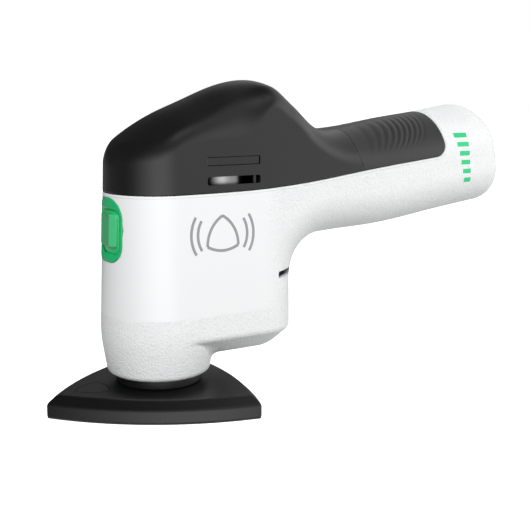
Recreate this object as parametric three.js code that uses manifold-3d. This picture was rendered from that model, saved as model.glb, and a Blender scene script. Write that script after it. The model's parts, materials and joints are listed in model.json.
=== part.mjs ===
// Cordless delta detail sander: a white tub with a neck, a black head cover and a ribbed grip hold a
// vertical motor, whose eccentric rocks a fork on the spindle, and with it the three-cornered platen.
// Millimetres. The origin is on the spindle axis in the sanding face, +X runs back to the handle, +Z up.
import * as THREE from 'three';
import { mergeVertices } from 'three/addons/utils/BufferGeometryUtils.js';
import Module from 'manifold-3d';

const wasm = await Module();
wasm.setup();

// ---------- driving dimensions ----------
const GAP = 0.3;                 // air between touching pieces
const WALL = 2.3;                // housing wall
const HALF_WIDTH = 24.8;         // head, at mid height
const HANDLE_HALF_WIDTH = 23;
const DRAFT_MID = 66;            // height where the head has its nominal width
const DRAFT = 0.00134;           // growth of the head's width per mm below that height
const HANDLE_END = 189;
const END_ROUNDING = 15;
const END_LEAN = 0.2;            // how far the end face leans forward towards its top
const HANDLE_TILT = THREE.MathUtils.degToRad(7.3);
const HANDLE_REF = { x: 100, z: 97 };   // a point on the handle's axis
const LOBE_BACK = 61;            // rear wall under the handle
const LOBE_CORNER = 15;
const LOBE_BOTTOM = 20.4;
const LOBE_TOP = 92;             // the lobe's flanks run up inside the upper body to here
const CREASE_Z = 31.5;           // where the belly and the neck start to draw in
const NECK_BOTTOM = 14.5;
const NECK_OPENING = 20;
const SEAM_GAP = 0.3;
const PARTING = { x: 96.3, z: 103.5, lean: 0.36 };   // between head cover and grip, leaning forward
const GRIP_BACK = 148;

const PLATEN_SIDE = 93;
const PLATEN_SIDE_RADIUS = 133;
const PLATEN_TOP = 9.9;
const PLATEN_EDGE_TOP = 6.2;
const SKIRT_BOTTOM = 1.5;
const FOAM_INSET = 2.6;          // the plate's skirt stands round the foam
const FOAM = [1.5, 4.2];
const CORE = [4.8, 8.4];
const HOOK = [0, 1.2];
const COLLAR_RADIUS = 19.4;
const COLLAR = [10.2, 15];

const MOTOR_X = 28;
const CAN_RADIUS = 18;
const CAN = [58, 108];
const SHAFT_RADIUS = 1.6;
const ROTOR_BORE = SHAFT_RADIUS + GAP;
const THROW = 0.8;               // eccentric's offset: 0.8 mm on a 28 mm fork is 1.6 degrees each way
const FORK = [28.5, 37.5];
const ECCENTRIC_BEARING_RADIUS = 8;
const FORK_CLEARANCE = 2;        // beside the eccentric bearing: the opened linkage's air

const SPINDLE_RADIUS = 5;
const BEARING_RADIUS = 11;
const BEARING_WIDTH = 7;
const LOWER_BEARING_Z = 16.5;
const UPPER_BEARING_Z = 49.2;
const FRAME_TOP_RADIUS = 13.4;   // slim enough to stand beside the fan
const FRAME_FOOT_RADIUS = 17;
const FRAME_PLATE = [55, 57.7];
const FRAME_SCREWS = [[46, 16.5], [46, -16.5], [12, 18.4], [12, -18.4]];

const CELL_RADIUS = 9.2;
const CELL_LENGTH = 65;
const CELL_FRONT = -50;          // along the handle's axis from its reference point
const CELL_PLACES = [[-9.5, -9.5], [9.5, -9.5], [0, 6.7]];
const GRIP_SCREWS = [[128, 0], [144, 0]];

const JACK = { start: 82.5, height: -2.7 };   // in the handle's frame

const BEZEL = { bottom: 66.2, top: 94.4, halfWidth: 11.4, corner: 9.6 };
const BUTTON = { bottom: 72.4, top: 88, halfWidth: 8.4, front: -24.8, pivotX: -17, pivotZ: 80 };

// ---------- materials ----------
function finish(color, roughness, metalness = 0) {
  return new THREE.MeshStandardMaterial({ color, roughness, metalness });
}

const white = finish(0xf0f1f1, 0.35);
const black = finish(0x2a2a2b, 0.5);
const gripBlack = finish(0x303031, 0.65);
const green = finish(0x2fb36f, 0.45);
const steel = finish(0xb9bcc0, 0.3, 1);
const castMetal = finish(0xa9adb2, 0.5, 0.9);
const brass = finish(0xc9a24a, 0.35, 1);
const copper = finish(0xb8683a, 0.4, 1);
const magnet = finish(0x3a3a3d, 0.7, 0.4);
const greyPlastic = finish(0x55585c, 0.6);
const fanBlue = finish(0x2d3f55, 0.5);
const cellWrap = finish(0x2f6fb0, 0.45);
const board = finish(0x1f6b43, 0.5);
const foam = finish(0x1c1c1d, 0.95);
const hook = finish(0x262628, 1);
const redWire = finish(0xb02a26, 0.5);
const blackWire = finish(0x1a1a1b, 0.5);

// ---------- joining and cutting ----------
function solid(geometry) {
  const bare = geometry.clone();
  bare.deleteAttribute('normal');
  bare.deleteAttribute('uv');
  const merged = mergeVertices(bare);
  const vertProperties = new Float32Array(merged.attributes.position.array);
  const triVerts = new Uint32Array(merged.index.array);
  const made = new wasm.Manifold(new wasm.Mesh({ numProp: 3, vertProperties, triVerts }));
  if (made.volume() > 0) return made;
  const turnedOut = triVerts.map((_, i) => triVerts[i - (i % 3) + [0, 2, 1][i % 3]]);
  return new wasm.Manifold(new wasm.Mesh({ numProp: 3, vertProperties, triVerts: turnedOut }));
}

function toGeometry(manifold) {
  const mesh = manifold.getMesh();
  const geometry = new THREE.BufferGeometry();
  geometry.setAttribute('position', new THREE.BufferAttribute(new Float32Array(mesh.vertProperties), 3));
  geometry.setIndex(new THREE.BufferAttribute(new Uint32Array(mesh.triVerts), 1));
  geometry.computeVertexNormals();
  return geometry;
}

const join = (first, ...others) => others.reduce((sum, next) => sum.add(next), first);
const cut = (first, ...others) => others.reduce((rest, next) => rest.subtract(next), first);

// ---------- simple solids ----------
function box(low, high) {
  const [dx, dy, dz] = high.map((value, i) => value - low[i]);
  const geometry = new THREE.BoxGeometry(dx, dy, dz);
  geometry.translate(low[0] + dx / 2, low[1] + dy / 2, low[2] + dz / 2);
  return solid(geometry);
}

function rod(radius, [bottom, top], x = 0, y = 0, sides = 20) {
  const geometry = new THREE.CylinderGeometry(radius, radius, top - bottom, sides);
  geometry.rotateX(Math.PI / 2);
  geometry.translate(x, y, (bottom + top) / 2);
  return solid(geometry);
}

function ring(outer, inner, span, x = 0, y = 0, sides = 20) {
  const bore = [span[0] - 1, span[1] + 1];
  return cut(rod(outer, span, x, y, sides), rod(inner, bore, x, y, Math.min(sides, 16)));
}

// A rod whose axis is parallel to Y.
function crossRod(radius, [low, high], x, z, sides = 12) {
  const geometry = new THREE.CylinderGeometry(radius, radius, high - low, sides);
  geometry.translate(x, (low + high) / 2, z);
  return solid(geometry);
}

// A body turned about a vertical axis from [radius, height] pairs.
function turned(profile, x = 0, y = 0, sides = 28) {
  const points = profile.map(([radius, z]) => new THREE.Vector2(radius, z));
  const geometry = new THREE.LatheGeometry(points, sides);
  geometry.rotateX(Math.PI / 2);
  geometry.translate(x, y, 0);
  return solid(geometry);
}

function extruded(shape, depth, curveSegments) {
  return new THREE.ExtrudeGeometry(shape, { depth, bevelEnabled: false, curveSegments });
}

// An outline in X and Y, raised along Z.
function raised(shape, [bottom, top], curveSegments = 5) {
  const geometry = extruded(shape, top - bottom, curveSegments);
  geometry.translate(0, 0, bottom);
  return solid(geometry);
}

// An outline in X and Z, carried across Y.
function across(shape, [low, high], curveSegments = 5) {
  const geometry = extruded(shape, high - low, curveSegments);
  geometry.rotateX(Math.PI / 2);
  geometry.translate(0, high, 0);
  return solid(geometry);
}

const outline = (points) => new THREE.Shape(points.map(([a, b]) => new THREE.Vector2(a, b)));

// ---------- the shape of the housing ----------
// Height of a smooth curve through hand-set points, as a function of x.
function heightCurve(points) {
  const samples = new THREE.SplineCurve(points.map(([x, z]) => new THREE.Vector2(x, z))).getPoints(160);
  return (x) => {
    const after = samples.findIndex((sample) => sample.x >= x);
    if (after === 0) return samples[0].y;
    if (after < 0) return samples[samples.length - 1].y;
    const [a, b] = [samples[after - 1], samples[after]];
    return THREE.MathUtils.mapLinear(x, a.x, b.x, a.y, b.y);
  };
}

const topLine = heightCurve([
  [-25, 106], [-23.4, 113], [-18, 119], [-8, 125.5], [14, 134.6], [29, 140.8], [42, 144.2], [52, 143.2],
  [60, 138], [71, 128.5], [82, 122.3], [94, 121.6], [149, 129.3], [196, 136],
]);
const bottomLine = heightCurve([
  [-25, 63], [50, 63], [58, 63.6], [64, 66], [70, 69], [78, 71.2], [90, 71.8],
  [113, 72.6], [150, 77], [196, 82.6],
]);
const axisHeight = (x) => HANDLE_REF.z + (x - HANDLE_REF.x) * Math.tan(HANDLE_TILT);
const draft = (z) => 1 + (DRAFT_MID - z) * DRAFT;

// Half the width at x: a round nose, flat flanks and a slimmer handle.
function halfWidth(x, inset) {
  const radius = HALF_WIDTH - inset;
  if (x < 0) return Math.sqrt(Math.max(radius * radius - x * x, 0.04));
  const slim = THREE.MathUtils.smoothstep(x, 35, 100);
  return THREE.MathUtils.lerp(HALF_WIDTH, HANDLE_HALF_WIDTH, slim) - inset;
}

// The head's upper part and the handle: a skin of superellipse sections along X.
function upperBody(inset) {
  const first = -HALF_WIDTH + inset;
  const last = HANDLE_END - inset;
  const noseStations = [0.3, 1.5, 4, 8, 14].map((step) => first + step);
  const middleStations = [0, 16, 30, 40, 48, 55, 61, 67, 73, 80, 90, 106, 128, 150, 170];
  const endStations = [9, 4.5, 1.8, 0.3].map((step) => last - step);
  const stations = [...noseStations, ...middleStations, ...endStations];
  const geometry = new THREE.CylinderGeometry(1, 1, 1, 20, stations.length - 1);
  const position = geometry.attributes.position;
  for (let i = 0; i < position.count; i += 1) {
    const x = stations[Math.round((position.getY(i) + 0.5) * (stations.length - 1))];
    const power = 2 / THREE.MathUtils.lerp(4.6, 2.9, THREE.MathUtils.smoothstep(x, 45, 105));
    const stretch = THREE.MathUtils.clamp((x - last + END_ROUNDING) / END_ROUNDING, 0, 1);
    const closing = Math.cbrt(1 - stretch ** 3);
    const top = topLine(x) - inset;
    const bottom = bottomLine(x) + inset;
    const side = position.getX(i);
    const rise = position.getZ(i);
    const y = halfWidth(x, inset) * Math.sign(side) * Math.abs(side) ** power * closing;
    const reach = ((top - bottom) / 2) * closing;
    const z = (top + bottom) / 2 + reach * Math.sign(rise) * Math.abs(rise) ** power;
    const lean = THREE.MathUtils.smoothstep(x, 105, 160) * END_LEAN * (z - axisHeight(x));
    const slope = THREE.MathUtils.lerp(draft(z), 1, THREE.MathUtils.smoothstep(x, 60, 90));
    position.setXYZ(i, (x < 0 ? x * draft(z) : x) - lean, y * slope, z);
  }
  return solid(geometry);
}

// The lower head: a plan outline with a round nose and a rounded back, drawn in at the belly.
function lobeBody(inset) {
  const radius = HALF_WIDTH - inset;
  const back = LOBE_BACK - inset;
  const corner = LOBE_CORNER - inset;
  const plan = new THREE.Shape();
  plan.absarc(0, 0, radius, Math.PI / 2, (3 * Math.PI) / 2, false);
  plan.lineTo(back - corner, -radius);
  plan.absarc(back - corner, -radius + corner, corner, -Math.PI / 2, 0, false);
  plan.lineTo(back, radius - corner);
  plan.absarc(back - corner, radius - corner, corner, 0, Math.PI / 2, false);
  const belly = CREASE_Z - LOBE_BOTTOM;
  const geometry = new THREE.ExtrudeGeometry(plan, {
    depth: LOBE_TOP - CREASE_Z,
    bevelThickness: belly - inset,
    bevelSize: 12,
    bevelOffset: -12,
    bevelSegments: 2,
    curveSegments: 5,
  });
  geometry.translate(0, 0, CREASE_Z);
  const position = geometry.attributes.position;
  for (let i = 0; i < position.count; i += 1) {
    const slope = draft(position.getZ(i));
    const x = position.getX(i);
    const slim = halfWidth(Math.max(x, 0), inset) / radius;
    position.setXYZ(i, x < 0 ? x * slope : x, position.getY(i) * slope * slim, position.getZ(i));
  }
  const rise = inset * 0.8;
  const heel = outline([
    [36, 0], [36, LOBE_BOTTOM - 0.5 + rise], [44, 21.4 + rise], [51, 24 + rise], [56, 27.6 + rise],
    [back, 34 + rise], [80, 34 + rise], [80, 0],
  ]);
  return cut(solid(geometry), across(heel, [-40, 40]));
}

const neckBody = (inset) => turned([
  [0, NECK_BOTTOM + inset], [19.5, NECK_BOTTOM + inset], [22.6 - inset, NECK_BOTTOM + inset * 0.7 + 1.6],
  [23.6 - inset, 19.5], [25.8 - inset, CREASE_Z], [25.6 - inset, 38], [0, 38],
], 0, 0, 24);

const housingBody = (inset) => join(upperBody(inset), lobeBody(inset), neckBody(inset));

// Everything above the joint between the white tub and the black pieces, from the nose to the grip's end.
const SEAM = [[-60, 96], [38, 96.4], [70, 98.7], [97, 102], [141, 106.8]];
const SEAM_END = [[145.5, 109.5], [147.6, 114], [GRIP_BACK + 2, 150]];

function aboveSeam(lift) {
  const height = heightCurve(SEAM);
  const along = [-60, 0, 38, 70, 97, 120, 141].map((x) => [x, height(x) + lift]);
  const rising = SEAM_END.map(([x, z]) => [x - lift, z + lift]);
  return across(outline([...along, ...rising, [GRIP_BACK + 2 - lift, 160], [-60, 160]]), [-40, 40]);
}

// Everything behind the leaning plane where the head cover meets the grip.
function behindParting(shift) {
  const at = (z) => [PARTING.x + shift - PARTING.lean * (z - PARTING.z), z];
  return across(outline([at(80), [220, 80], [220, 170], at(170)]), [-40, 40]);
}

// ---------- building the assembly ----------
const sander = new THREE.Group();

function add(name, shape, material, parent = sander) {
  const mesh = new THREE.Mesh(toGeometry(shape), material);
  mesh.name = name;
  parent.add(mesh);
}

function roundedWindow(halfWidth, bottom, top, corner) {
  const shape = new THREE.Shape();
  shape.moveTo(-halfWidth, bottom + corner);
  shape.absarc(-halfWidth + corner, bottom + corner, corner, Math.PI, 1.5 * Math.PI, false);
  shape.absarc(halfWidth - corner, bottom + corner, corner, 1.5 * Math.PI, 2 * Math.PI, false);
  shape.absarc(halfWidth - corner, top - corner, corner, 0, Math.PI / 2, false);
  shape.absarc(-halfWidth + corner, top - corner, corner, Math.PI / 2, Math.PI, false);
  return shape;
}

// A window outline in Y and Z, carried along X.
function alongX(shape, [low, high], curveSegments = 5) {
  const geometry = extruded(shape, high - low, curveSegments);
  geometry.rotateZ(Math.PI / 2);
  geometry.rotateY(Math.PI / 2);
  geometry.translate(low, 0, 0);
  return solid(geometry);
}

// Shapes laid along the handle's tilted axis, and shapes turned from the handle's frame into the sander's.
const laid = (shape, x, y, z) => shape.rotate([0, 90, 0]).translate([x, y, z]);
function inHandle(shape) {
  const tilted = shape.rotate([0, -THREE.MathUtils.radToDeg(HANDLE_TILT), 0]);
  return tilted.translate([HANDLE_REF.x, 0, HANDLE_REF.z]);
}

function addHousing() {
  const outer = housingBody(0);
  const shell = cut(outer, housingBody(WALL));
  const neckHole = rod(NECK_OPENING, [0, 20], 0, 0, 28);
  const window = alongX(roundedWindow(BEZEL.halfWidth, BEZEL.bottom, BEZEL.top, BEZEL.corner), [-30, -15]);
  const jackHole = inHandle(laid(rod(4.2, [0, 14], 0, 0, 16), JACK.start, 0, JACK.height));
  let tub = cut(shell, neckHole, window, jackHole, aboveSeam(-SEAM_GAP / 2));
  for (const side of [-1, 1]) {
    const ends = [side * 13, side * 30].sort((a, b) => a - b);
    tub = cut(tub, box([49.2, ends[0], 56], [66, ends[1], 59.3]));
  }
  for (const [x, y] of FRAME_SCREWS) {
    const boss = rod(3, [20, FRAME_PLATE[0] - GAP], x, y, 12).intersect(outer);
    tub = cut(join(tub, boss), rod(1.8, [42, 60], x, y, 8));
  }
  for (const [x, y] of GRIP_SCREWS) {
    const boss = rod(4.6, [60, 97], x, y, 12).intersect(outer);
    tub = cut(join(tub, boss), rod(3.5, [60, 86], x, y, 12), rod(1.8, [60, 99], x, y, 8));
  }
  add('lower_housing', tub, white);

  const upper = shell.intersect(aboveSeam(SEAM_GAP / 2));
  let cover = cut(upper, behindParting(-SEAM_GAP / 2));
  for (const side of [-1, 1]) {
    const through = [side * 15, side * 30].sort((a, b) => a - b);
    const shallow = [side * 22.9, side * 30].sort((a, b) => a - b);
    cover = cut(cover, box([13, through[0], 99.4], [39.5, through[1], 103]));
    cover = cut(cover, box([13, shallow[0], 107.7], [39.5, shallow[1], 111.5]));
  }
  add('head_cover', cover, black);

  let grip = upper.intersect(behindParting(SEAM_GAP / 2));
  for (const [x, y] of GRIP_SCREWS) {
    const boss = rod(3.6, [97 + GAP, 140], x, y, 12).intersect(outer);
    grip = cut(join(grip, boss), rod(1.8, [90, 114], x, y, 8));
  }
  add('handle_grip', grip, gripBlack);

  GRIP_SCREWS.forEach(([x, y], i) => {
    const head = rod(2.8, [83.4, 85.7], x, y, 10);
    add(`grip_screw_${i + 1}`, join(head, rod(1.5, [85, 111], x, y, 6)), steel);
  });
}

function addSwitch() {
  const { pivotX, pivotZ, front } = BUTTON;
  const flange = roundedWindow(BEZEL.halfWidth - GAP, BEZEL.bottom + GAP, BEZEL.top - GAP, BEZEL.corner);
  const opening = roundedWindow(BUTTON.halfWidth + 0.4, BUTTON.bottom - 0.4, BUTTON.top + 0.8, 2.4);
  const outside = turned([[0, 60], [25, 60], [24, 98], [0, 98]]);
  const skin = cut(outside, turned([[0, 59], [23.9, 59], [22.9, 99], [0, 99]]));
  add('switch_bezel', cut(alongX(flange, [-30, -15]).intersect(skin), alongX(opening, [-30, -15])), green);

  const cap = roundedWindow(BUTTON.halfWidth, BUTTON.bottom, BUTTON.top, 2);
  const crown = turned([[0, 60], [-front, 60], [-front - 0.6, 98], [0, 98]], 0, 0, 36);
  const face = alongX(cap, [-26, -21]).intersect(crown);
  const plate = roundedWindow(BUTTON.halfWidth + 1.6, BUTTON.bottom - 1.2, BUTTON.top + 1.2, 3);
  const behindBezel = cut(turned([[0, 60], [23, 60], [22, 98], [0, 98]]), rod(21.3, [59, 99], 0, 0, 28));
  const skirt = alongX(plate, [-24, -18]).intersect(behindBezel);
  const arm = box([-22.5, -4.4, pivotZ - 3], [pivotX, 4.4, pivotZ + 3]);
  const hub = crossRod(2.8, [-4.5, 4.5], pivotX, pivotZ);
  const rocker = join(face, skirt, arm, hub);
  add('switch_rocker', cut(rocker, crossRod(1.3, [-6, 6], pivotX, pivotZ, 8)), green);
  const block = box([-18.8, -7.8, 68.5], [-2, 7.8, 91.5]);
  const recess = box([-21, -4.9, 72], [-12, 4.9, 88.6]);
  add('switch_body', cut(block, recess, crossRod(1.3, [-9, 9], pivotX, pivotZ, 8)), greyPlastic);
  add('switch_pin', crossRod(1, [-7.5, 7.5], pivotX, pivotZ, 8), steel);
}

function addMotor() {
  const canInside = rod(16.4, [CAN[0] + 1.6, CAN[1] + 1], MOTOR_X, 0, 24);
  const canWall = cut(rod(CAN_RADIUS, CAN, MOTOR_X, 0, 24), canInside);
  const mountingHoles = [-9, 9].map((dx) => rod(1.6, [50, 63], MOTOR_X + dx, 0, 8));
  add('motor_can', cut(canWall, rod(5, [50, 65], MOTOR_X, 0, 16), ...mountingHoles), steel);
  [0, Math.PI].forEach((turn, i) => {
    const shape = new THREE.Shape();
    shape.absarc(0, 0, 16.1, turn - 1.1, turn + 1.1, false);
    shape.absarc(0, 0, 12.8, turn + 1.1, turn - 1.1, true);
    const arc = raised(shape, [66, 98], 8).translate([MOTOR_X, 0, 0]);
    add(`motor_magnet_${i + 1}`, arc, magnet);
  });
  const cap = join(rod(16.1, [105, 107.6], MOTOR_X, 0, 24), rod(6, [105, 113], MOTOR_X, 0, 16));
  add('motor_end_cap', cut(cap, rod(4.3, [100, 120], MOTOR_X, 0, 16)), greyPlastic);
  add('upper_motor_bush', ring(4, ROTOR_BORE, [106, 112], MOTOR_X, 0, 12), brass);
  add('lower_motor_bush', ring(4.4, ROTOR_BORE, [57, 61], MOTOR_X, 0, 12), brass);
  add('motor_brush_1', box([MOTOR_X - 2, -11, 100], [MOTOR_X + 2, -4.9, 104.6]), magnet);
  add('motor_brush_2', box([MOTOR_X - 2, 4.9, 100], [MOTOR_X + 2, 11, 104.6]), magnet);
  [-9, 9].forEach((dx, i) => {
    const head = rod(2.2, [53.1, 54.7], MOTOR_X + dx, 0, 10);
    add(`motor_screw_${i + 1}`, join(head, rod(1.3, [54, 61.4], MOTOR_X + dx, 0, 8)), steel);
  });
}

function addRotor() {
  add('motor_shaft', rod(SHAFT_RADIUS, [27.5, 111.5], MOTOR_X, 0, 12), steel);
  let core = ring(12.3, ROTOR_BORE, [66, 96], MOTOR_X, 0, 20);
  for (let slot = 0; slot < 5; slot += 1) {
    const angle = (slot * 2 * Math.PI) / 5;
    const groove = box([5.5, -1.1, 60], [14, 1.1, 100]).rotate([0, 0, THREE.MathUtils.radToDeg(angle)]);
    core = cut(core, groove.translate([MOTOR_X, 0, 0]));
  }
  add('armature_core', core, magnet);
  add('lower_coil', ring(10.6, 3.2, [62.4, 65.7], MOTOR_X, 0, 16), copper);
  add('upper_coil', ring(10.6, 3.2, [96.3, 98.3], MOTOR_X, 0, 16), copper);
  add('commutator', ring(4.5, ROTOR_BORE, [98.6, 104.6], MOTOR_X, 0, 12), copper);

  const fanHub = ring(5, ROTOR_BORE, [46, 52.4], MOTOR_X, 0, 16);
  let fan = join(fanHub, ring(13.5, ROTOR_BORE, [51.2, 52.4], MOTOR_X, 0, 24));
  for (let blade = 0; blade < 9; blade += 1) {
    const plate = box([4.5, -0.6, 46.5], [13, 0.6, 51.5]).rotate([0, 0, (blade * 360) / 9]);
    fan = join(fan, plate.translate([MOTOR_X, 0, 0]));
  }
  add('cooling_fan', fan, fanBlue);

  const weight = cut(rod(11, [40.5, 45], MOTOR_X, 0, 20), box([MOTOR_X + 3.5, -20, 30], [60, 20, 60]));
  add('counterweight', cut(weight, rod(ROTOR_BORE, [30, 60], MOTOR_X, 0, 12)), brass);
  const cam = cut(rod(4, [28.5, 40], MOTOR_X + THROW, 0, 16), rod(ROTOR_BORE, [20, 50], MOTOR_X, 0, 12));
  add('eccentric', cam, steel);
  add('eccentric_bearing', ring(ECCENTRIC_BEARING_RADIUS, 4.3, [29.5, 36.5], MOTOR_X + THROW, 0, 20), steel);
}

function addDriveFrame() {
  const lowerRing = rod(FRAME_FOOT_RADIUS, [15.5, 26.5], 0, 0, 24);
  const upperRing = rod(FRAME_TOP_RADIUS, [47, FRAME_PLATE[1]], 0, 0, 24);
  const column = cut(rod(FRAME_FOOT_RADIUS, [24, FRAME_PLATE[1]], 0, 0, 24), box([-2, -20, 20], [20, 20, 60]));
  const plate = box([6, -20.3, FRAME_PLATE[0]], [50, 20.3, FRAME_PLATE[1]]);
  const bore = rod(BEARING_RADIUS + GAP, [10, 56.6], 0, 0, 24);
  const shaftHole = rod(SPINDLE_RADIUS + 2, [50, 60], 0, 0, 16);
  const motorHole = rod(5.2, [50, 60], MOTOR_X, 0, 16);
  const motorScrewHoles = [-9, 9].map((dx) => rod(1.6, [50, 60], MOTOR_X + dx, 0, 8));
  const screwHoles = FRAME_SCREWS.map(([x, y]) => rod(1.8, [50, 60], x, y, 8));
  const frame = join(lowerRing, column, upperRing, plate);
  add('drive_frame', cut(frame, bore, shaftHole, motorHole, ...motorScrewHoles, ...screwHoles), castMetal);
  FRAME_SCREWS.forEach(([x, y], i) => {
    const head = rod(2.8, [FRAME_PLATE[1] + GAP, FRAME_PLATE[1] + 2.4], x, y, 12);
    add(`frame_screw_${i + 1}`, join(head, rod(1.5, [44, FRAME_PLATE[1] + 1], x, y, 8)), steel);
  });
  const bearing = ring(BEARING_RADIUS, SPINDLE_RADIUS + GAP, [0, BEARING_WIDTH], 0, 0, 24);
  add('lower_spindle_bearing', bearing.translate([0, 0, LOWER_BEARING_Z]), steel);
  add('upper_spindle_bearing', bearing.translate([0, 0, UPPER_BEARING_Z]), steel);
}

// The platen's outline: three bowed sides, drawn in by inset, with one corner to the front.
function platenShape(inset) {
  const reach = PLATEN_SIDE / Math.sqrt(3);
  const apothem = reach / 2;
  const sagitta = PLATEN_SIDE_RADIUS - Math.sqrt(PLATEN_SIDE_RADIUS ** 2 - (PLATEN_SIDE / 2) ** 2);
  const centreDistance = PLATEN_SIDE_RADIUS - apothem - sagitta;
  const radius = PLATEN_SIDE_RADIUS - inset;
  const half = Math.asin((centreDistance * Math.sin(Math.PI / 3)) / radius);
  const shape = new THREE.Shape();
  for (let side = 0; side < 3; side += 1) {
    const facing = (side * 2 * Math.PI) / 3;
    const span = Math.PI / 3 - half;
    const x = -centreDistance * Math.cos(facing);
    const y = -centreDistance * Math.sin(facing);
    shape.absarc(x, y, radius, facing - span, facing + span, false);
  }
  return shape;
}

function addSpindle() {
  const flange = rod(11.5, [10.6, 13.6], 0, 0, 20);
  const holes = [0, 1, 2].map((i) => {
    const angle = (i * 2 * Math.PI) / 3;
    return rod(1.6, [0, 14], 8 * Math.cos(angle), 8 * Math.sin(angle), 8);
  });
  add('spindle', cut(join(rod(SPINDLE_RADIUS, [10.6, 58], 0, 0, 16), flange), ...holes), steel);

  const arm = box([2, -14, FORK[0]], [36, 14, FORK[1]]);
  const slotSide = ECCENTRIC_BEARING_RADIUS + FORK_CLEARANCE;
  const slot = box([MOTOR_X - 10, -slotSide, 20], [50, slotSide, 50]);
  const forkBody = cut(join(rod(9, FORK, 0, 0, 20), arm), slot, rod(SPINDLE_RADIUS + GAP, [20, 50], 0, 0, 16));
  add('fork_lever', forkBody, steel);

  const edge = raised(platenShape(0), [SKIRT_BOTTOM, PLATEN_EDGE_TOP]);
  const bevelled = new THREE.ExtrudeGeometry(platenShape(3.8), {
    depth: 0.1,
    bevelThickness: PLATEN_TOP - PLATEN_EDGE_TOP - 0.1,
    bevelSize: 3.8,
    bevelSegments: 1,
    curveSegments: 5,
  });
  bevelled.translate(0, 0, PLATEN_TOP - 0.1 - (PLATEN_TOP - PLATEN_EDGE_TOP - 0.1));
  const cap = solid(bevelled).intersect(raised(platenShape(0), [PLATEN_EDGE_TOP - 0.4, PLATEN_TOP]));
  const foamPocket = raised(platenShape(FOAM_INSET - GAP), [0, FOAM[1] + GAP]);
  const corePocket = raised(platenShape(7), [FOAM[1], CORE[1] + GAP]);
  add('platen_plate', cut(join(edge, cap), foamPocket, corePocket, ...holes), black);
  add('platen_core', cut(raised(platenShape(7.4), CORE), ...holes), steel);
  add('foam_pad', cut(raised(platenShape(FOAM_INSET), FOAM), ...[0, 1, 2].map((i) => {
    const angle = (i * 2 * Math.PI) / 3;
    return rod(3, [3, 5], 8 * Math.cos(angle), 8 * Math.sin(angle), 10);
  })), foam);
  add('hook_pad', raised(platenShape(0), HOOK), hook);
  add('dust_collar', ring(COLLAR_RADIUS, 12, COLLAR, 0, 0, 36), gripBlack);
  for (let i = 0; i < 3; i += 1) {
    const angle = (i * 2 * Math.PI) / 3;
    const [x, y] = [8 * Math.cos(angle), 8 * Math.sin(angle)];
    add(`platen_screw_${i + 1}`, join(rod(2.6, [3.3, 4.5], x, y, 10), rod(1.3, [4, 13.2], x, y, 8)), steel);
  }
}

// A lead along a smooth curve.
function lead(points, radius = 0.8) {
  const path = new THREE.CatmullRomCurve3(points.map(([x, y, z]) => new THREE.Vector3(x, y, z)));
  const section = new THREE.Shape();
  section.absarc(0, 0, radius, 0, 2 * Math.PI, false);
  const geometry = new THREE.ExtrudeGeometry(section, { steps: 20, extrudePath: path, curveSegments: 3 });
  return solid(geometry);
}

function addPower() {
  const pack = new THREE.Group();
  pack.position.set(HANDLE_REF.x, 0, HANDLE_REF.z);
  pack.rotation.y = -HANDLE_TILT;
  sander.add(pack);
  CELL_PLACES.forEach(([y, z], i) => {
    const can = rod(CELL_RADIUS, [0, CELL_LENGTH - 1], 0, 0, 18);
    const cell = join(can, rod(3.2, [CELL_LENGTH - 2, CELL_LENGTH], 0, 0, 12));
    add(`battery_cell_${i + 1}`, laid(cell, CELL_FRONT, y, z), cellWrap, pack);
  });
  const bracketShape = outline([[-17.5, -14], [17.5, -14], [17.5, -4], [6.5, 13.5], [-6.5, 13.5], [-17.5, -4]]);
  const frontBracket = alongX(bracketShape, [CELL_FRONT - 2.6, CELL_FRONT - 0.8]);
  const rearBracket = alongX(bracketShape, [CELL_FRONT + CELL_LENGTH + 0.8, CELL_FRONT + CELL_LENGTH + 2.6]);
  add('front_cell_bracket', frontBracket, greyPlastic, pack);
  add('rear_cell_bracket', rearBracket, greyPlastic, pack);
  add('front_cell_strap', box([CELL_FRONT - 0.7, -13, -12], [CELL_FRONT - 0.3, 13, -7]), steel, pack);
  const rearStrap = box([CELL_FRONT + CELL_LENGTH + 0.2, -13, -12], [CELL_FRONT + CELL_LENGTH + 0.6, -5, 9]);
  add('rear_cell_strap', rearStrap, steel, pack);

  add('circuit_board', box([22, 9, -9], [71, 10.6, 9]), board, pack);
  add('board_capacitor', rod(3.4, [-6, 4], 30, 14.4, 12), black, pack);
  add('board_chip', box([40, 10.9, -4], [49, 12.6, 4]), black, pack);
  const { start, height } = JACK;
  const jackBody = box([start - 9, -5, height - 5.5], [start + 1.5, 5, height + 5.5]);
  const barrel = laid(rod(3.85, [0, 6], 0, 0, 16), start, 0, height);
  const bore = laid(rod(2.75, [0, 12], 0, 0, 12), start - 3, 0, height);
  const pin = laid(rod(0.95, [0, 8], 0, 0, 8), start - 3.5, 0, height);
  add('charge_jack', join(cut(join(jackBody, barrel), bore), pin), black, pack);

  const batteryRun = [
    [122, -7, 99], [119, -13.8, 104.5], [100, -14, 104], [72, -14.5, 100.5], [52, -17, 97], [42, -20, 95],
    [28, -20.2, 92], [12, -19, 88], [2, -13.5, 86], [-3, -9.1, 85],
  ];
  add('battery_lead', lead(batteryRun), redWire);
  const motorRun = [
    [-1, 9.1, 80], [7, 16.5, 85], [14, 19.6, 95], [17, 18.7, 104], [17.5, 17, 110.6], [21, 10, 110.8],
  ];
  add('motor_lead', lead(motorRun), blackWire);
}

addHousing();
addSwitch();
addMotor();
addRotor();
addDriveFrame();
addSpindle();
addPower();

export default sander;
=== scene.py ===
import json
import math

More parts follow.
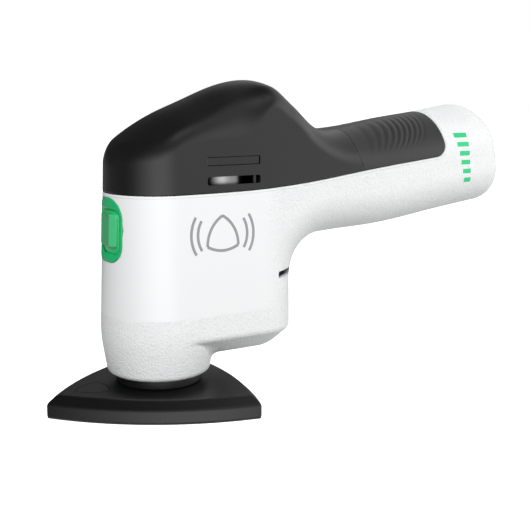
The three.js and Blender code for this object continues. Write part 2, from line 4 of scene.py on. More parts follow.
import bpy
import numpy as np
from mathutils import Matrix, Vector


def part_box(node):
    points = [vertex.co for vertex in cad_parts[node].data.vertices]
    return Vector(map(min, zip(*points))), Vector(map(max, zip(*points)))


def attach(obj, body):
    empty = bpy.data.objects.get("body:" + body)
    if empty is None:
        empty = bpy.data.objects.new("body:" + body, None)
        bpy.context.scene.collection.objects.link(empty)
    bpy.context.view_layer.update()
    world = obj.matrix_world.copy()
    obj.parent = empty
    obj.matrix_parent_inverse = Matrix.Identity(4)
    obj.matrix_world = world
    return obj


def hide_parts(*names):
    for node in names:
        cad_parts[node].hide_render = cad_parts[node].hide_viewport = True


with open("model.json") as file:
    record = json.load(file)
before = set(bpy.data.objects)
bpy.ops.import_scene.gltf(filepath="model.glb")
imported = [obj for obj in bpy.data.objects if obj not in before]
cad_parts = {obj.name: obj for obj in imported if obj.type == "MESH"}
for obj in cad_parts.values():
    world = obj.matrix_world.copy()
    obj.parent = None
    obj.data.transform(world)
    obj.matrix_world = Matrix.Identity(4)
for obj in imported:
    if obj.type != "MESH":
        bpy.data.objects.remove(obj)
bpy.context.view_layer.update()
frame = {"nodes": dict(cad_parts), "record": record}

# The shapes are worked out in millimetres, in the row frame, and turned into metres as meshes are made.
MM = 0.001


# ---------- smooth shapes as distance fields ----------
def mix(a, b, share):
    return a + (b - a) * share


def blend_max(a, b, width):
    """The larger of the two, with the change from one to the other spread over width."""
    return np.maximum(a, b) + np.maximum(width - np.abs(a - b), 0) ** 2 / (4 * width)


def smooth(value, low, high):
    """0 below low, 1 above high, and an eased step between."""
    t = np.clip((value - low) / (high - low), 0, 1)
    return t * t * (3 - 2 * t)


def round_and(a, b, radius):
    """The part inside both a and b, with the edge between them rounded."""
    corner = np.hypot(np.maximum(a + radius, 0), np.maximum(b + radius, 0))
    return np.minimum(np.maximum(a, b), -radius) + corner


def round_or(a, b, radius):
    """The part inside a or b, with a fillet between them."""
    corner = np.hypot(np.maximum(radius - a, 0), np.maximum(radius - b, 0))
    return np.maximum(np.minimum(a, b), radius) - corner


def cut(field, hole):
    return np.maximum(field, -hole)


def rounded_rectangle(u, v, half_u, half_v, corner):
    """Distance outside a rectangle with rounded corners, centred on u = v = 0."""
    return round_and(np.abs(u) - half_u, np.abs(v) - half_v, corner)


def spline(knots):
    """A natural cubic through given (position, value) pairs."""
    at, value = np.array(knots, float).T
    span = np.diff(at)
    system = np.eye(len(at))
    right = np.zeros(len(at))
    for i in range(1, len(at) - 1):
        system[i, i - 1:i + 2] = span[i - 1], 2 * (span[i - 1] + span[i]), span[i]
        right[i] = 6 * ((value[i + 1] - value[i]) / span[i] - (value[i] - value[i - 1]) / span[i - 1])
    bend = np.linalg.solve(system, right)
    samples = np.linspace(at[0], at[-1], 2400)
    k = np.clip(np.searchsorted(at, samples) - 1, 0, len(at) - 2)
    before, after, width = samples - at[k], at[k + 1] - samples, span[k]
    table = (
        (bend[k] * after**3 + bend[k + 1] * before**3) / (6 * width)
        + (value[k] / width - bend[k] * width / 6) * after
        + (value[k + 1] / width - bend[k + 1] * width / 6) * before
    )
    slopes = np.gradient(table, samples)
    return lambda x: np.interp(x, samples, table), lambda x: np.interp(x, samples, slopes)


# ---------- the housing's outer skin ----------
NOSE_RADIUS = 24.8
DRAFT_MID = 66
DRAFT = 0.00134
HANDLE_HALF_WIDTH = 23
HANDLE_ROUNDING = 19.5
HANDLE_TILT = math.radians(7.3)
HANDLE_REF = (100, 97)
HANDLE_END = 187.6
END_LEAN = 0.2
END_ROUNDING = 12
END_TOP_ROUNDING = 15.5
LOBE_BACK = 61
LOBE_CORNER = 15
LOBE_BOTTOM = 20.4
NOTCH_RADIUS = 20
CREASE = 31.5                   # height where the wall turns in to the belly
BELLY_SLOPE = 0.85
BELLY_SCALE = 1.31              # the length of (1, BELLY_SLOPE)
BELLY_ROUNDING = 5
BELLY_EDGE = 1.2
NECK_BOTTOM = 14.5
NECK_CONE = {"radius": 23.3, "z": 16, "flare": 0.168}
NECK_EDGE = 2
NECK_BLEND = 1.2
CROWN_POWER = 2.3
WALL = 2.3

# Profiles along x: the top's height, how far the top drops at the flanks, and how round its edge is there;
# the handle's underside; and the seam between white and black.
top_height, top_slope = spline([
    (-60, 60), (-30, 104), (-24, 112.6), (-18, 118.6), (-8, 125.5), (0, 129.7), (14, 135.5), (29, 141.4),
    (42, 144.1), (49, 143), (56.2, 136.8), (63, 130.9), (70, 125.2), (79, 121.5), (90, 121), (120, 125.3),
    (149, 129), (172, 132.5), (210, 138.6),
])
crown_drop, _ = spline([
    (-60, 11), (-20, 11), (-10, 11.5), (1, 10.9), (14, 12.6), (28, 14.2), (38.5, 12.1), (48, 5), (56, 2),
    (70, 0.6), (85, 0.2), (100, 0), (150, 0), (220, 0),
])
top_rounding, _ = spline([
    (-60, 4), (0, 4), (15, 4.3), (40, 7.5), (52, 6.5), (64, 7.5), (76, 11.5), (90, 16.5), (104, 19.3),
    (220, 19.5),
])
handle_bottom, handle_bottom_slope = spline([
    (-60, 71.6), (40, 71.6), (78, 71.8), (90, 72.4), (113, 73.4), (150, 77.9), (190, 82.7), (220, 86.3),
])
seam_height, seam_slope = spline([
    (-60, 96), (0, 96), (38, 96.4), (70, 98.7), (97, 102), (141, 106.8), (210, 114.3),
])


def nose_radius(z):
    return NOSE_RADIUS * (1 + (DRAFT_MID - z) * DRAFT)


def housing(x, y, z):
    """About the distance outside the closed skin that the tub, the head cover and the grip share."""
    side = np.abs(y)
    radius = nose_radius(z)
    flank = side - mix(radius, HANDLE_HALF_WIDTH, smooth(x, 35, 100))
    under = (handle_bottom(x) - z) / np.hypot(1, handle_bottom_slope(x))
    back = round_or(under, x - LOBE_BACK, NOTCH_RADIUS)
    ends = np.maximum(back, -x - radius)
    rear_rounding = mix(LOBE_CORNER, HANDLE_ROUNDING, smooth(z, 50, 74))
    skin = round_and(ends, flank, mix(radius, rear_rounding, smooth(x, 10, 30)))

    # Under the nose the wall runs on into the neck's cone; behind that it turns in to a sloping belly.
    belly = ((CREASE - z) + BELLY_SLOPE * skin) / BELLY_SCALE
    belly = round_and(belly, LOBE_BOTTOM - z, BELLY_ROUNDING)
    around = np.hypot(x, y)
    cone = around - NECK_CONE["radius"] - (z - NECK_CONE["z"]) * NECK_CONE["flare"]
    nose = round_and(blend_max(skin, cone, NECK_BLEND), NECK_BOTTOM - z, NECK_EDGE)
    skin = mix(nose, round_and(skin, belly, BELLY_EDGE), smooth(x, 1, 11))
    neck = round_and(blend_max(cone, around - radius, NECK_BLEND), NECK_BOTTOM - z, NECK_EDGE)
    skin = round_or(skin, np.maximum(neck, z - CREASE - 1.5), mix(0.1, 3, smooth(x, 9, 20)))

    across = np.clip(side / NOSE_RADIUS, 0, 1.3)
    drop = crown_drop(x)
    ceiling = top_height(x) - drop * across**CROWN_POWER
    fall = drop * CROWN_POWER / NOSE_RADIUS * across ** (CROWN_POWER - 1)
    tilt = np.sqrt(1 + top_slope(x) ** 2 + fall**2)
    skin = round_and(skin, (z - ceiling) / tilt, top_rounding(x))

    axis = HANDLE_REF[1] + (x - HANDLE_REF[0]) * math.tan(HANDLE_TILT)
    end = (x - HANDLE_END + END_LEAN * (z - axis)) / math.hypot(1, END_LEAN)
    return round_and(skin, end, mix(END_ROUNDING, END_TOP_ROUNDING, smooth(z - axis, 2, 26)))


GRIP_END = 147.7
GRIP_END_LEAN = 0.13
GRIP_CORNER = 6.5
PARTING = {"x": 93, "z": 113, "lean": 0.07, "extra": 0.33}


def black_zone(x, z):
    """Negative where the black pieces are, and about the distance from their border elsewhere."""
    above = (seam_height(x) - z) / np.hypot(1, seam_slope(x))
    return round_and(above, x - GRIP_END + GRIP_END_LEAN * (z - 115), GRIP_CORNER)


def behind_parting(x, z):
    """Positive behind the line where the head cover meets the grip, which leans more lower down."""
    below = PARTING["z"] - z
    line = PARTING["x"] + PARTING["lean"] * below + PARTING["extra"] * (below + np.hypot(below, 3)) / 2
    return (x - line) / math.hypot(1, 0.3)


# ---------- surfaces from fields ----------
PLACING_WEIGHT = 0.012          # how strongly a vertex is held to the middle of its cell


def unit_rows(rows):
    return rows / np.maximum(np.linalg.norm(rows, axis=1, keepdims=True), 1e-9)


def gradient(field, points, reach=0.02):
    parts = []
    for axis in range(3):
        step = np.zeros(3)
        step[axis] = reach
        ahead, behind = points + step, points - step
        parts.append((field(*ahead.T) - field(*behind.T)) / (2 * reach))
    return np.stack(parts, 1)


def contour(field, low, high, steps):
    """Vertices and four-sided faces of the surface field = 0, with its sharp edges kept.

    This is dual contouring: one vertex in each grid cell that the surface crosses, placed by the
    surface's normals at the cell's crossed edges, and one face round each crossed edge."""
    steps = np.array(steps, float)
    axes = [np.arange(a, b + s, s) for a, b, s in zip(low, high, steps)]
    shape = tuple(len(axis) for axis in axes)
    values = field(axes[0][:, None, None], axes[1][None, :, None], axes[2][None, None, :])
    values = np.ascontiguousarray(np.broadcast_to(values, shape))
    inside = values < 0
    cells = np.array(shape) - 1
    stride = np.array([cells[1] * cells[2], cells[2], 1])
    crossings, normals, owners, rings = [], [], [], []
    for axis in range(3):
        unit = np.eye(3, dtype=int)[axis]
        lower = np.take(inside, range(shape[axis] - 1), axis)
        upper = np.take(inside, range(1, shape[axis]), axis)
        index = np.argwhere(lower != upper)
        others = [(axis + 1) % 3, (axis + 2) % 3]
        keep = np.all([(index[:, o] > 0) & (index[:, o] < cells[o]) for o in others], 0)
        index = index[keep]
        start = np.stack([axes[i][index[:, i]] for i in range(3)], 1)
        run = unit * steps[axis]
        near = values[tuple(index.T)]
        far = values[tuple((index + unit).T)]
        from_inside = near < 0
        lo, hi = np.zeros(len(index)), np.ones(len(index))
        for _ in range(5):
            share = np.clip(near / (near - far), 0.02, 0.98)
            middle = lo + (hi - lo) * share
            found = field(*(start + middle[:, None] * run).T)
            same = (found < 0) == from_inside
            lo, near = np.where(same, middle, lo), np.where(same, found, near)
            hi, far = np.where(same, hi, middle), np.where(same, far, found)
        share = near / (near - far)
        point = start + (lo + (hi - lo) * share)[:, None] * run
        normal = unit_rows(gradient(field, point))
        ring = []
        for du, dv in ((-1, -1), (0, -1), (0, 0), (-1, 0)):
            cell = index.copy()
            cell[:, others[0]] += du
            cell[:, others[1]] += dv
            ring.append(cell @ stride)
        ring = np.stack(ring, 1)
        ring[~from_inside] = ring[~from_inside][:, ::-1]
        crossings.append(np.repeat(point, 4, 0))
        normals.append(np.repeat(normal, 4, 0))
        owners.append(ring.ravel())
        rings.append(ring)
    point, normal, owner = np.concatenate(crossings), np.concatenate(normals), np.concatenate(owners)
    used, place = np.unique(owner, return_inverse=True)
    count = len(used)
    total = np.bincount(place, minlength=count)
    centre = np.stack([np.bincount(place, point[:, i], count) for i in range(3)], 1) / total[:, None]
    matrix = np.empty((count, 3, 3))
    vector = np.empty((count, 3))
    reach = np.einsum("ij,ij->i", normal, point - centre[place])
    for i in range(3):
        vector[:, i] = np.bincount(place, normal[:, i] * reach, count)
        for j in range(3):
            matrix[:, i, j] = np.bincount(place, normal[:, i] * normal[:, j], count)
    matrix += np.eye(3) * (PLACING_WEIGHT * total)[:, None, None]
    vertex = centre + np.linalg.solve(matrix, vector[:, :, None])[:, :, 0]
    corner = np.stack(np.unravel_index(used, cells), 1)
    floor = np.stack([axes[i][corner[:, i]] for i in range(3)], 1)
    vertex = np.clip(vertex, floor - 0.05 * steps, floor + 1.05 * steps)
    for _ in range(2):
        slope = gradient(field, vertex)
        size = np.maximum(np.einsum("ij,ij->i", slope, slope), 0.05)
        move = slope * (field(*vertex.T) / size)[:, None]
        limit = 0.25 * steps.min()
        length = np.maximum(np.linalg.norm(move, axis=1, keepdims=True), 1e-9)
        vertex -= move * np.minimum(1, limit / length)
    faces = np.searchsorted(used, np.concatenate(rings))
    return vertex, faces


def make_object(name, mesh, material):
    mesh.materials.append(material)
    piece = bpy.data.objects.new(name, mesh)
    bpy.context.scene.collection.objects.link(piece)
    return piece


def field_piece(name, field, low, high, steps, material, border=None):
    """A piece whose surface is field = 0, with its shading taken from the field itself.

    border is a function of x and z whose value each point keeps, for the material to read."""
    vertex, faces = contour(field, low, high, steps)
    mesh = bpy.data.meshes.new(name)
    mesh.from_pydata((vertex * MM).tolist(), [], faces.tolist())
    mesh.validate(clean_customdata=False)
    if border is not None:
        kept = mesh.attributes.new("border", "FLOAT", "POINT")
        kept.data.foreach_set("value", border(vertex[:, 0], vertex[:, 2]))
    mesh.shade_smooth()
    sizes = np.empty(len(mesh.polygons), int)
    mesh.polygons.foreach_get("loop_total", sizes)
    corners = np.empty(len(mesh.loops), int)
    mesh.loops.foreach_get("vertex_index", corners)
    flat = np.empty(len(mesh.polygons) * 3)
    mesh.polygons.foreach_get("normal", flat)
    owner = np.repeat(np.arange(len(sizes)), sizes)
    middle = np.stack([np.bincount(owner, vertex[corners, i], len(sizes)) for i in range(3)], 1)
    near = mix(vertex[corners], (middle / sizes[:, None])[owner], 0.2)
    shading = unit_rows(gradient(field, near, 0.05))
    plain = flat.reshape(-1, 3)[owner]
    astray = np.einsum("ij,ij->i", shading, plain) < 0.5
    shading[astray] = plain[astray]
    mesh.normals_split_custom_set(shading.tolist())
    return make_object(name, mesh, material)


def turned_piece(name, profile, centre, material, sides=96):
    """A closed ring of [radius, height] points turned about a vertical axis through centre, in mm."""
    angles = np.linspace(0, 2 * math.pi, sides, endpoint=False)
    rows = len(profile)
    points = [
        ((centre[0] + r * math.cos(a)) * MM, (centre[1] + r * math.sin(a)) * MM, z * MM)
        for a in angles for r, z in profile
    ]
    faces = []
    for k in range(sides):
        here, there = k * rows, (k + 1) % sides * rows
        for i in range(rows):
            j = (i + 1) % rows
            faces.append((here + i, there + i, there + j, here + j))
    mesh = bpy.data.meshes.new(name)
    mesh.from_pydata(points, [], faces)
    mesh.validate()
    mesh.shade_smooth()
    mesh.set_sharp_from_angle(angle=math.radians(35))
    return make_object(name, mesh, material)


def rounded_profile(corners, radius, arc=5):
    """The corners of a closed [radius, height] outline, each rounded."""
    outline = []
    count = len(corners)
    for i, corner in enumerate(corners):
        here = np.array(corner, float)
        to_last = np.array(corners[i - 1], float) - here
        to_next = np.array(corners[(i + 1) % count], float) - here
        last_length, next_length = np.linalg.norm(to_last), np.linalg.norm(to_next)
        size = min(radius, 0.45 * last_length, 0.45 * next_length)
        first = here + to_last / last_length * size
        last = here + to_next / next_length * size
        for t in np.linspace(0, 1, arc):
            outline.append(tuple((1 - t) ** 2 * first + 2 * t * (1 - t) * here + t * t * last))
    return outline


# ---------- materials ----------
class Nodes:
    """Shorthand for building a node tree."""

    def __init__(self, name=None, tree=None):
        if tree is None:
            self.material = bpy.data.materials.new(name)
            self.material.use_nodes = True
            tree = self.material.node_tree
            self.shader = tree.nodes["Principled BSDF"]
        self.tree = tree
        coordinates = tree.nodes.new("ShaderNodeTexCoord")
        self.place = coordinates.outputs["Object"]
        self.direction = coordinates.outputs["Generated"]

    def link(self, value, socket):
        if isinstance(value, bpy.types.NodeSocket):
            self.tree.links.new(value, socket)
        else:
            socket.default_value = value

    def set(self, name, value):
        self.link(value, self.shader.inputs[name])

    def math(self, operation, a, b=0.0):
        node = self.tree.nodes.new("ShaderNodeMath")
        node.operation = operation
        self.link(a, node.inputs[0])
        self.link(b, node.inputs[1])
        return node.outputs[0]

    def product(self, *factors):
        result = factors[0]
        for factor in factors[1:]:
            result = self.math("MULTIPLY", result, factor)
        return result

    def less(self, value):
        """One minus the value."""
        return self.math("SUBTRACT", 1.0, value)

    def coordinate(self, axis):
        """One coordinate of the surface point, in millimetres."""
        node = self.tree.nodes.new("ShaderNodeSeparateXYZ")
        self.link(self.place, node.inputs[0])
        return self.math("MULTIPLY", node.outputs[axis], 1000.0)

    def step(self, value, low, high):
        """0 at low and 1 at high, eased between; low may be the greater."""
        node = self.tree.nodes.new("ShaderNodeMapRange")
        node.interpolation_type = "SMOOTHSTEP"
        self.link(value, node.inputs["Value"])
        self.link(low, node.inputs["From Min"])
        self.link(high, node.inputs["From Max"])
        return node.outputs["Result"]

    def blend(self, share, a, b):
        node = self.tree.nodes.new("ShaderNodeMix")
        node.data_type = "RGBA"
        self.link(share, node.inputs[0])
        for value, socket in ((a, node.inputs[6]), (b, node.inputs[7])):
            self.link(value if isinstance(value, bpy.types.NodeSocket) else (*value, 1), socket)
        return node.outputs[2]

    def noise(self, size, detail=2.0, stretch=(1, 1, 1), roughness=0.5):
        """Noise whose features are about size millimetres across."""
        mapping = self.tree.nodes.new("ShaderNodeMapping")
        self.link(self.place, mapping.inputs["Vector"])
        mapping.inputs["Scale"].default_value = [1000 * s / size for s in stretch]
        node = self.tree.nodes.new("ShaderNodeTexNoise")
        self.link(mapping.outputs[0], node.inputs["Vector"])
        node.inputs["Scale"].default_value = 1.0
        node.inputs["Detail"].default_value = detail
        node.inputs["Roughness"].default_value = roughness
        return node.outputs["Fac"]

    def bump(self, height, strength, distance_mm, below=None):
        node = self.tree.nodes.new("ShaderNodeBump")
        self.link(strength, node.inputs["Strength"])
        node.inputs["Distance"].default_value = distance_mm * MM
        self.link(height, node.inputs["Height"])
        if below is not None:
            self.link(below, node.inputs["Normal"])
        return node.outputs["Normal"]


def moulded(name, colour, roughness, grain=0.5, grain_depth=0.02, spread=0.06, mottle=7.0):
    """Moulded plastic or rubber: fine grain, slight unevenness of colour and gloss."""
    n = Nodes(name)
    cloud = n.noise(mottle, 3)
    dark = [c * (1 - spread) for c in colour]
    light = [c * (1 + spread) for c in colour]
    n.set("Base Color", n.blend(cloud, dark, light))
    n.set("Roughness", n.math("ADD", roughness - 0.04, n.product(n.noise(mottle / 3, 4), 0.08)))
    n.set("Normal", n.bump(n.noise(grain, 3), 0.5, grain_depth))
    return n.material


def metal(name, colour, roughness, stretch=(1, 1, 0.02), grain=0.25, spread=0.08):
    """Machined or pressed metal, with marks drawn out along one direction."""
    n = Nodes(name)
    marks = n.noise(grain, 4, stretch)
    n.set("Base Color", n.blend(marks, [c * (1 - spread) for c in colour], colour))
    n.set("Metallic", 1.0)
    n.set("Roughness", n.math("ADD", roughness - 0.06, n.product(marks, 0.12)))
    n.set("Normal", n.bump(marks, 0.25, 0.01))
    return n.material


SMOOTH_PANEL = {"bottom": (42.1, 42.7), "rear": (34.0, 52.0)}


def white_shell_material():
    """Satin white, spark-textured except on the smooth panel round the head, with a lip along the seam; the
    grain's pits and a narrow grey line beside the lip are painted shade.
    """
    n = Nodes("white_plastic")
    x, z = n.coordinate(0), n.coordinate(2)
    panel = n.product(n.step(z, *SMOOTH_PANEL["bottom"]), n.less(n.step(x, *SMOOTH_PANEL["rear"])))
    texture = n.less(panel)
    mark = n.tree.nodes.new("ShaderNodeAttribute")
    mark.attribute_name = "border"
    border = mark.outputs["Fac"]
    lip = n.less(n.step(border, 1.0, 1.25))
    # A narrow grey line just outside the lip: painted shade, standing in for a small step's shadow.
    line = n.product(n.step(border, 0.95, 1.15), n.less(n.step(border, 1.2, 1.5)))
    cloud = n.noise(30, 2)
    grain = n.noise(0.9, 3, roughness=0.65)
    colour = n.blend(cloud, (0.83, 0.838, 0.845), (0.85, 0.857, 0.86))
    # The grain's hollows are coloured darker: painted shade in the texture's pits.
    pit_shade = n.product(n.step(grain, 0.5, 0.3), texture, 0.3)
    colour = n.blend(pit_shade, colour, (0.6, 0.61, 0.615))
    n.set("Base Color", n.blend(n.product(line, 0.2), colour, (0.42, 0.43, 0.44)))
    n.set("Roughness", n.math("ADD", 0.3, n.product(texture, 0.22)))
    spark = n.bump(grain, texture, 0.52)
    n.set("Normal", n.bump(lip, 0.5, 0.15, spark))
    n.set("Specular IOR Level", 0.75)
    return n.material


def green_material(name, facet):
    """Translucent green elastomer; where facet is set, the side flats are painted lighter as painted light,
    and the middle flat and skirt are tinted.
    """
    n = Nodes(name)
    cloud = n.noise(4.0, 3)
    colour = n.blend(cloud, (0.006, 0.44, 0.145), (0.01, 0.5, 0.17))
    if facet:
        # The middle flat dulls towards its ends, the side flats are painted lighter as painted light, and
        # the skirt is deeper.
        side, height = n.math("ABSOLUTE", n.coordinate(1)), n.coordinate(2)
        ends = n.math("ABSOLUTE", n.math("SUBTRACT", height, 80.2))
        far = n.step(n.math("ADD", ends, n.product(cloud, 2.0)), 5.6, 8.0)
        middle = n.blend(far, (0.042, 0.42, 0.155), (0.075, 0.34, 0.135))
        edge = n.step(ends, 6.9, 7.6)
        rim = n.step(side, 8.2, 8.7)
        # Painted light: the side flats are coloured lighter than the middle flat.
        painted_lit_flats = n.product(n.step(side, 3.7, 4.2), n.less(rim), n.less(edge))
        skirt = n.blend(edge, (0.003, 0.44, 0.13), (0.0, 0.58, 0.17))
        outer = n.math("MAXIMUM", edge, rim)
        colour = n.blend(outer, n.blend(painted_lit_flats, middle, (0.07, 0.58, 0.235)), skirt)
    n.set("Base Color", colour)
    n.set("Roughness", n.math("ADD", 0.34, n.product(n.noise(2.0, 3), 0.1)))
    n.set("Normal", n.bump(n.noise(0.5, 2), 0.4, 0.015))
    n.set("Subsurface Weight", 0.1)
    n.shader.inputs["Subsurface Radius"].default_value = (0.0006, 0.0018, 0.0008)
    return n.material


# The can's colour is plain inside this band along x and near black outside it: painted shade.
UNSHADED_BAND = {"front": (18.0, 24.5), "rear": (24.0, 38.0)}


def can_material():
    """Drawn steel, plain along a band in x and painted dull, near black, on both sides of it: painted shade
    where the cover's slot shades the can.
    """
    n = Nodes("drawn_can_steel")
    marks = n.noise(0.6, 4, (1, 1, 0.03))
    x = n.coordinate(0)
    unshaded = n.product(n.step(x, *UNSHADED_BAND["front"]), n.less(n.step(x, *UNSHADED_BAND["rear"])))
    plain_steel = n.blend(marks, (0.34, 0.34, 0.345), (0.42, 0.42, 0.425))
    # Near black outside the band: painted shade inside the cover's slot.
    n.set("Base Color", n.blend(unshaded, (0.012, 0.012, 0.013), plain_steel))
    n.set("Metallic", 1.0)
    n.set("Roughness", n.math("ADD", 0.25, n.product(marks, 0.1)))
    n.set("Normal", n.bump(marks, 0.25, 0.01))
    return n.material


def hook_material():
    """Hook tape: a field of tiny stems."""
    n = Nodes("hook_tape")
    cells = n.tree.nodes.new("ShaderNodeTexVoronoi")
    n.link(n.place, cells.inputs["Vector"])
    cells.inputs["Scale"].default_value = 1500
    n.set("Base Color", n.blend(cells.outputs["Distance"], (0.012, 0.012, 0.013), (0.05, 0.05, 0.052)))
    n.set("Roughness", 0.92)
    n.set("Normal", n.bump(cells.outputs["Distance"], 0.8, 0.2))
    n.set("Sheen Weight", 0.3)
    return n.material


def floor_material():
    n = Nodes("studio_floor")
    n.set("Base Color", n.blend(n.noise(300, 2), (0.79, 0.79, 0.79), (0.8, 0.8, 0.8)))
    n.set("Roughness", 0.9)
    n.set("Specular IOR Level", 0.0)
    n.set("Emission Color", (1, 1, 1, 1))
    n.set("Emission Strength", 0.85)
    return n.material


cover_black = moulded("cover_black", (0.0065, 0.0065, 0.0066), 0.33, grain=0.35, grain_depth=0.006)
grip_black = moulded("grip_black", (0.016, 0.016, 0.0162), 0.42, grain=0.3, grain_depth=0.01)
platen_black = moulded("platen_black", (0.0045, 0.0045, 0.0046), 0.4, grain=0.5, grain_depth=0.01)
collar_black = moulded("collar_black", (0.007, 0.007, 0.007), 0.45, grain=0.4)
print_grey = moulded("print_grey", (0.3, 0.305, 0.31), 0.45, grain=0.6, grain_depth=0.005)
print_green = moulded("print_green", (0.014, 0.56, 0.21), 0.45, grain=0.6, grain_depth=0.005)
print_dark = moulded("print_dark", (0.004, 0.004, 0.004), 0.6, grain=0.6, grain_depth=0.005)
foam_black = moulded("foam_black", (0.012, 0.012, 0.0125), 0.9, grain=0.7, grain_depth=0.15)
white = white_shell_material()
can_steel = can_material()
bezel_green = green_material("bezel_green", False)
button_green = green_material("button_green", True)
hook_tape = hook_material()

slot_materials = {
    "white_shell": white,
    "black_shell": cover_black,
    "black_grip": grip_black,
    "green_elastomer": bezel_green,
    "grey_plastic": moulded("grey_plastic", (0.12, 0.125, 0.13), 0.5),
    "steel": metal("machined_steel", (0.62, 0.63, 0.65), 0.3),
    "cast_zinc": metal("cast_zinc", (0.5, 0.51, 0.53), 0.5, stretch=(1, 1, 1), grain=0.9, spread=0.2),
    "bronze": metal("sintered_bronze", (0.6, 0.42, 0.18), 0.4, stretch=(1, 1, 1), grain=0.5, spread=0.2),
    "copper": metal("wound_copper", (0.62, 0.28, 0.13), 0.35, stretch=(0.1, 0.1, 1), grain=0.5, spread=0.3),
    "magnet": metal("dull_iron", (0.1, 0.1, 0.105), 0.6, stretch=(1, 1, 1), grain=0.8, spread=0.3),
    "fan_plastic": moulded("fan_plastic", (0.05, 0.08, 0.12), 0.4),
    "cell_wrap": moulded("cell_wrap", (0.06, 0.2, 0.5), 0.35, mottle=12),
    "board": moulded("solder_mask", (0.02, 0.16, 0.08), 0.3, grain=1.5),
    "black_nylon": platen_black,
    "foam": foam_black,
    "hook_fabric": hook_tape,
    "red_wire": moulded("red_insulation", (0.5, 0.03, 0.02), 0.4),
    "black_wire": moulded("black_insulation", (0.02, 0.02, 0.02), 0.4),
}

# ---------- housing pieces ----------
GAP = 0.17                      # half the joint between two pieces
FINE_GAP = 0.0425               # the same, between the head cover and the grip
FINE_EDGE = 0.15
WHITE_EDGE = 0.35
BLACK_EDGE = 0.2
FACE_RADIUS = 24.4              # the nose's radius at the button
BEZEL = {"arc": 11.9, "middle": 80.3, "half": 14.1, "corner": 9.6, "low_corner": 7.8, "back": -8}
NECK_BORE = {"radius": 20.2, "top": 20}
GRIP_SCREW_PLACES = (128, 144)
SCREW_POST = {"radius": 4.6, "top": 96, "bore_radius": 3.5, "bore_top": 86}
JACK = {"start": 82.5, "flare_start": 87.3, "height": -2.7, "radius": 4.2}
VENT = {"x": 53.6, "z": 57.5, "lean": 0.08, "half_length": 4.8, "half": 1.6, "corner": 0.9, "depth": 11}
OPENING = {"x": 26.3, "half_length": 13.2, "inner": 12}
SLOT = {"z": 101.2, "half": 1.8, "corner": 1.1}
BLANK = {"z": 109.6, "half": 1.9, "corner": 0.4, "gap": 0.16, "edge": 0.15, "inset": 0.4}
RIB = {"x": 37.2, "half": 0.55, "half_height": 2.4, "inner": 21.4, "inset": 1.1}


def shell(skin):
    return np.maximum(skin, -(skin + WALL))


def nose_arc(x, y):
    """Distance round the nose from its centre line."""
    return FACE_RADIUS * np.arctan2(y, np.maximum(-x, 0.01))


def handle_frame(x, z):
    """Distance along the handle's axis and above it."""
    dx, dz = x - HANDLE_REF[0], z - HANDLE_REF[1]
    c, s = math.cos(HANDLE_TILT), math.sin(HANDLE_TILT)
    return dx * c + dz * s, dz * c - dx * s


def bezel_outline(arc, z, inset):
    half_arc, half = BEZEL["arc"] - inset, BEZEL["half"] - inset
    corner = mix(BEZEL["low_corner"], BEZEL["corner"], smooth(z, 74, 86)) - inset
    return rounded_rectangle(arc, z - BEZEL["middle"], half_arc, half, corner)


def tub_field(x, y, z):
    skin = housing(x, y, z)
    body = shell(skin)
    side = np.abs(y)
    for place in GRIP_SCREW_PLACES:
        post = np.hypot(x - place, y)
        solid = np.maximum(post - SCREW_POST["radius"], z - SCREW_POST["top"])
        body = np.minimum(body, np.maximum(solid, skin))
        body = cut(body, np.maximum(post - SCREW_POST["bore_radius"], z - SCREW_POST["bore_top"]))
    body = round_and(body, -black_zone(x, z) + GAP, WHITE_EDGE)
    body = cut(body, np.maximum(np.hypot(x, y) - NECK_BORE["radius"], z - NECK_BORE["top"]))
    body = cut(body, np.maximum(bezel_outline(nose_arc(x, y), z, 0), x - BEZEL["back"]))
    middle = VENT["z"] + VENT["lean"] * (x - 55)
    vent = rounded_rectangle(x - VENT["x"], z - middle, VENT["half_length"], VENT["half"], VENT["corner"])
    body = cut(body, np.maximum(vent, VENT["depth"] - side))
    along, above = handle_frame(x, z)
    flare = np.maximum(along - JACK["flare_start"], 0) * 0.5
    bore = np.hypot(y, above - JACK["height"]) - JACK["radius"] - flare
    return cut(body, np.maximum(bore, JACK["start"] - along))


def flank_opening(x, z, place, inset=0.0):
    """Outline of one of the two openings in each flank of the head cover."""
    half_length, half = OPENING["half_length"] - inset, place["half"] - inset
    return rounded_rectangle(x - OPENING["x"], z - place["z"], half_length, half, place["corner"])


def cover_field(x, y, z):
    skin = housing(x, y, z)
    body = shell(skin)
    body = round_and(body, black_zone(x, z) + GAP, BLACK_EDGE)
    body = round_and(body, behind_parting(x, z) + FINE_GAP, FINE_EDGE)
    inner = OPENING["inner"] - np.abs(y)
    body = cut(body, np.maximum(flank_opening(x, z, SLOT), inner))
    return cut(body, np.maximum(flank_opening(x, z, BLANK), inner))


def slot_blank_field(x, y, z):
    """The panel that closes the upper opening in each flank of the head cover."""
    skin = housing(x, y, z)
    plate = round_and(skin + BLANK["inset"], flank_opening(x, z, BLANK, BLANK["gap"]), BLANK["edge"])
    return np.maximum(plate, np.maximum(-(skin + WALL), OPENING["inner"] - np.abs(y)))


GRIP_EXTRA_WALL = 0.6           # behind the grooves
GROOVE_BEND = 0.042
GROOVES = [                     # place along the top, depth, half width
    (102.5, 0.4, 2.0), (109.3, 0.5, 1.75), (115.0, 0.55, 1.5), (119.5, 0.6, 1.3), (123.4, 0.6, 1.15),
    (127.0, 0.6, 1.05), (130.4, 0.6, 1.0), (133.7, 0.55, 0.95), (136.9, 0.42, 0.95), (140.0, 0.25, 0.95),
]


